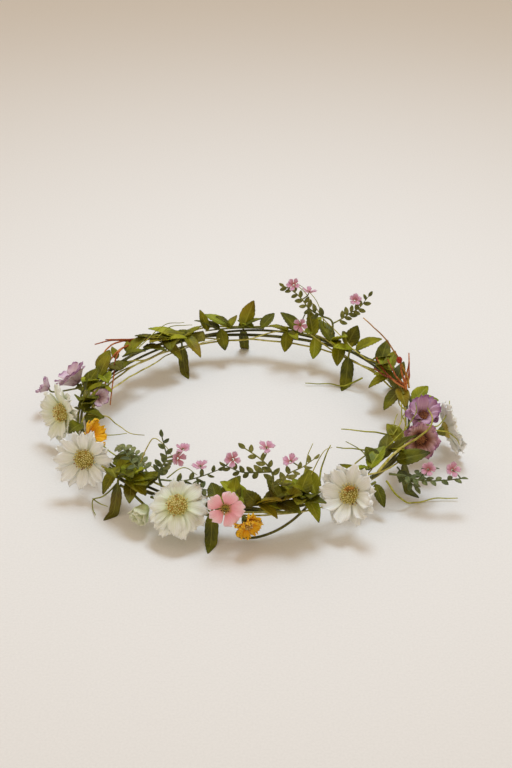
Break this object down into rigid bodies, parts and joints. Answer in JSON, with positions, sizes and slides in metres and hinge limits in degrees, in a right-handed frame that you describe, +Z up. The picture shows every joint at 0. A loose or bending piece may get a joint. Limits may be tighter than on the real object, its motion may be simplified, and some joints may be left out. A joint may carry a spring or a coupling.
{
  "type": "flower crown",
  "caption": "Wire hoop crown dressed with artificial daisies, anemones, small blossoms, leaf sprigs, upright sprays, twigs and straw, worn round the head.",
  "frame": {"origin": "centre of the hoop, dropped onto the table the crown lies on", "axes": "+Z up from the table along the hoop's axis, -Y the front with the small pink flower and the wire's looped end, +X the wearer's left when the front faces forwards"},
  "size_m": [0.2308, 0.2143, 0.0569],
  "materials": {
    "wire_paper_green": "matt paper-covered wire",
    "green_straw": "dry vine straw",
    "floral_tape": "waxed crepe paper tape",
    "red_twig": "fine dry twig",
    "white_petal": "heat-formed white cloth",
    "stem_green": "moulded stem and calyx",
    "stamen_yellow": "flocked yellow button",
    "lilac_blossom": "small pressed cloth blossom",
    "sprig_green": "moulded sage sprig",
    "leaf_green": "pressed cloth leaf with printed shading",
    "mauve_petal": "mauve cloth with dark edges",
    "pink_petal": "rose-pink cloth",
    "orange_petal": "orange-yellow cloth"
  },
  "bodies": {
    "crown": {"anemone_left_stem": "stem_green", "anemone_right_back_stem": "stem_green", "anemone_right_front_stem": "stem_green", "binding_tape_1": "floral_tape", "binding_tape_2": "floral_tape", "binding_tape_3": "floral_tape", "bud_front_left": "white_petal", "cosmos_front_right_stem": "stem_green", "cosmos_front_stem": "stem_green", "cosmos_left_back_stem": "stem_green", "cosmos_left_stem": "stem_green", "cosmos_right_stem": "stem_green", "grass_right": "green_straw", "hoop_wire_loop_end": "wire_paper_green", "hoop_wire_main": "wire_paper_green", "leaves_back": "leaf_green", "leaves_back_left": "leaf_green", "leaves_back_right": "leaf_green", "leaves_front": "leaf_green", "leaves_front_left": "leaf_green", "leaves_front_right": "leaf_green", "leaves_left": "leaf_green", "leaves_left_back": "leaf_green", "leaves_right": "leaf_green", "marigold_front_stem": "stem_green", "marigold_left_stem": "stem_green", "rose_front_stem": "stem_green", "straw_ring": "green_straw", "twigs_left": "red_twig", "twigs_right": "red_twig"},
    "cosmos_left_back_head": {"cosmos_left_back_petals_front": "white_petal", "cosmos_left_back_petals_back": "white_petal", "cosmos_left_back_centre": "stamen_yellow"},
    "cosmos_left_head": {"cosmos_left_petals_front": "white_petal", "cosmos_left_petals_back": "white_petal", "cosmos_left_centre": "stamen_yellow"},
    "cosmos_front_head": {"cosmos_front_petals_front": "white_petal", "cosmos_front_petals_back": "white_petal", "cosmos_front_centre": "stamen_yellow"},
    "cosmos_front_right_head": {"cosmos_front_right_petals_front": "white_petal", "cosmos_front_right_petals_back": "white_petal", "cosmos_front_right_centre": "stamen_yellow"},
    "cosmos_right_head": {"cosmos_right_petals_front": "white_petal", "cosmos_right_petals_back": "white_petal", "cosmos_right_centre": "stamen_yellow"},
    "anemone_left_head": {"anemone_left_petals": "mauve_petal"},
    "anemone_right_front_head": {"anemone_right_front_petals": "mauve_petal"},
    "anemone_right_back_head": {"anemone_right_back_petals": "mauve_petal"},
    "rose_front_head": {"rose_front_petals": "pink_petal"},
    "marigold_front_head": {"marigold_front_petals": "orange_petal"},
    "marigold_left_head": {"marigold_left_petals": "orange_petal"},
    "spray_front_left_bend": {"spray_front_left": "sprig_green", "spray_front_left_blossom_1": "lilac_blossom", "spray_front_left_blossom_2": "lilac_blossom"},
    "spray_front_bend": {"spray_front": "sprig_green", "spray_front_blossom_1": "lilac_blossom", "spray_front_blossom_2": "lilac_blossom"},
    "spray_back_bend": {"spray_back": "sprig_green", "spray_back_blossom_1": "lilac_blossom"},
    "spray_right_bend": {"spray_right": "sprig_green"}
  },
  "joints": [
    {"name": "cosmos_left_back_turn", "type": "hinge", "parent": "crown", "child": "cosmos_left_back_head", "pos_m": [-0.10075, -0.00705, 0.021], "axis": [-0.6917, -0.6917, 0.2079], "continuous": true},
    {"name": "cosmos_left_turn", "type": "hinge", "parent": "crown", "child": "cosmos_left_head", "pos_m": [-0.08438, -0.05273, 0.0215], "axis": [-0.129, -0.9182, 0.3746], "continuous": true},
    {"name": "cosmos_front_turn", "type": "hinge", "parent": "crown", "child": "cosmos_front_head", "pos_m": [-0.03437, -0.09444, 0.021], "axis": [-0.0716, -0.5834, 0.809], "continuous": true},
    {"name": "cosmos_front_right_turn", "type": "hinge", "parent": "crown", "child": "cosmos_front_right_head", "pos_m": [0.05173, -0.08441, 0.021], "axis": [-0.3522, -0.7912, 0.5], "continuous": true},
    {"name": "cosmos_right_turn", "type": "hinge", "parent": "crown", "child": "cosmos_right_head", "pos_m": [0.10766, -0.01705, 0.016], "axis": [0.9366, 0.3043, 0.1736], "continuous": true},
    {"name": "anemone_left_turn", "type": "hinge", "parent": "crown", "child": "anemone_left_head", "pos_m": [-0.09708, 0.02601, 0.0196], "axis": [-0.5872, 0.2614, 0.766], "continuous": true},
    {"name": "anemone_right_front_turn", "type": "hinge", "parent": "crown", "child": "anemone_right_front_head", "pos_m": [0.09149, -0.03512, 0.022], "axis": [-0.0647, -0.9249, 0.3746], "continuous": true},
    {"name": "anemone_right_back_turn", "type": "hinge", "parent": "crown", "child": "anemone_right_back_head", "pos_m": [0.09462, -0.01499, 0.023], "axis": [0.0458, -0.436, 0.8988], "continuous": true},
    {"name": "rose_front_turn", "type": "hinge", "parent": "crown", "child": "rose_front_head", "pos_m": [-0.01064, -0.10124, 0.0248], "axis": [0.0982, -0.9345, 0.342], "continuous": true},
    {"name": "marigold_front_turn", "type": "hinge", "parent": "crown", "child": "marigold_front_head", "pos_m": [0, -0.1012, 0.0152], "axis": [0.4169, -0.8548, -0.309], "continuous": true},
    {"name": "marigold_left_turn", "type": "hinge", "parent": "crown", "child": "marigold_left_head", "pos_m": [-0.08437, -0.03409, 0.023], "axis": [0.7815, -0.2094, 0.5878], "continuous": true},
    {"name": "spray_front_left_bend", "type": "hinge", "parent": "crown", "child": "spray_front_left_bend", "pos_m": [-0.04326, -0.07805, 0.02133], "axis": [-0.8746, 0.4848, 0], "range_deg": [-5, 20]},
    {"name": "spray_front_bend", "type": "hinge", "parent": "crown", "child": "spray_front_bend", "pos_m": [0.01242, -0.08837, 0.02133], "axis": [-0.9903, -0.1392, 0], "range_deg": [-20, 20]},
    {"name": "spray_back_bend", "type": "hinge", "parent": "crown", "child": "spray_back_bend", "pos_m": [0.04943, 0.07612, 0.02133], "axis": [0.8387, -0.5446, 0], "range_deg": [-20, 20]},
    {"name": "spray_right_bend", "type": "hinge", "parent": "crown", "child": "spray_right_bend", "pos_m": [0.07331, -0.05937, 0.01624], "axis": [-0.6293, -0.7771, 0], "range_deg": [-4, 25]}
  ]
}
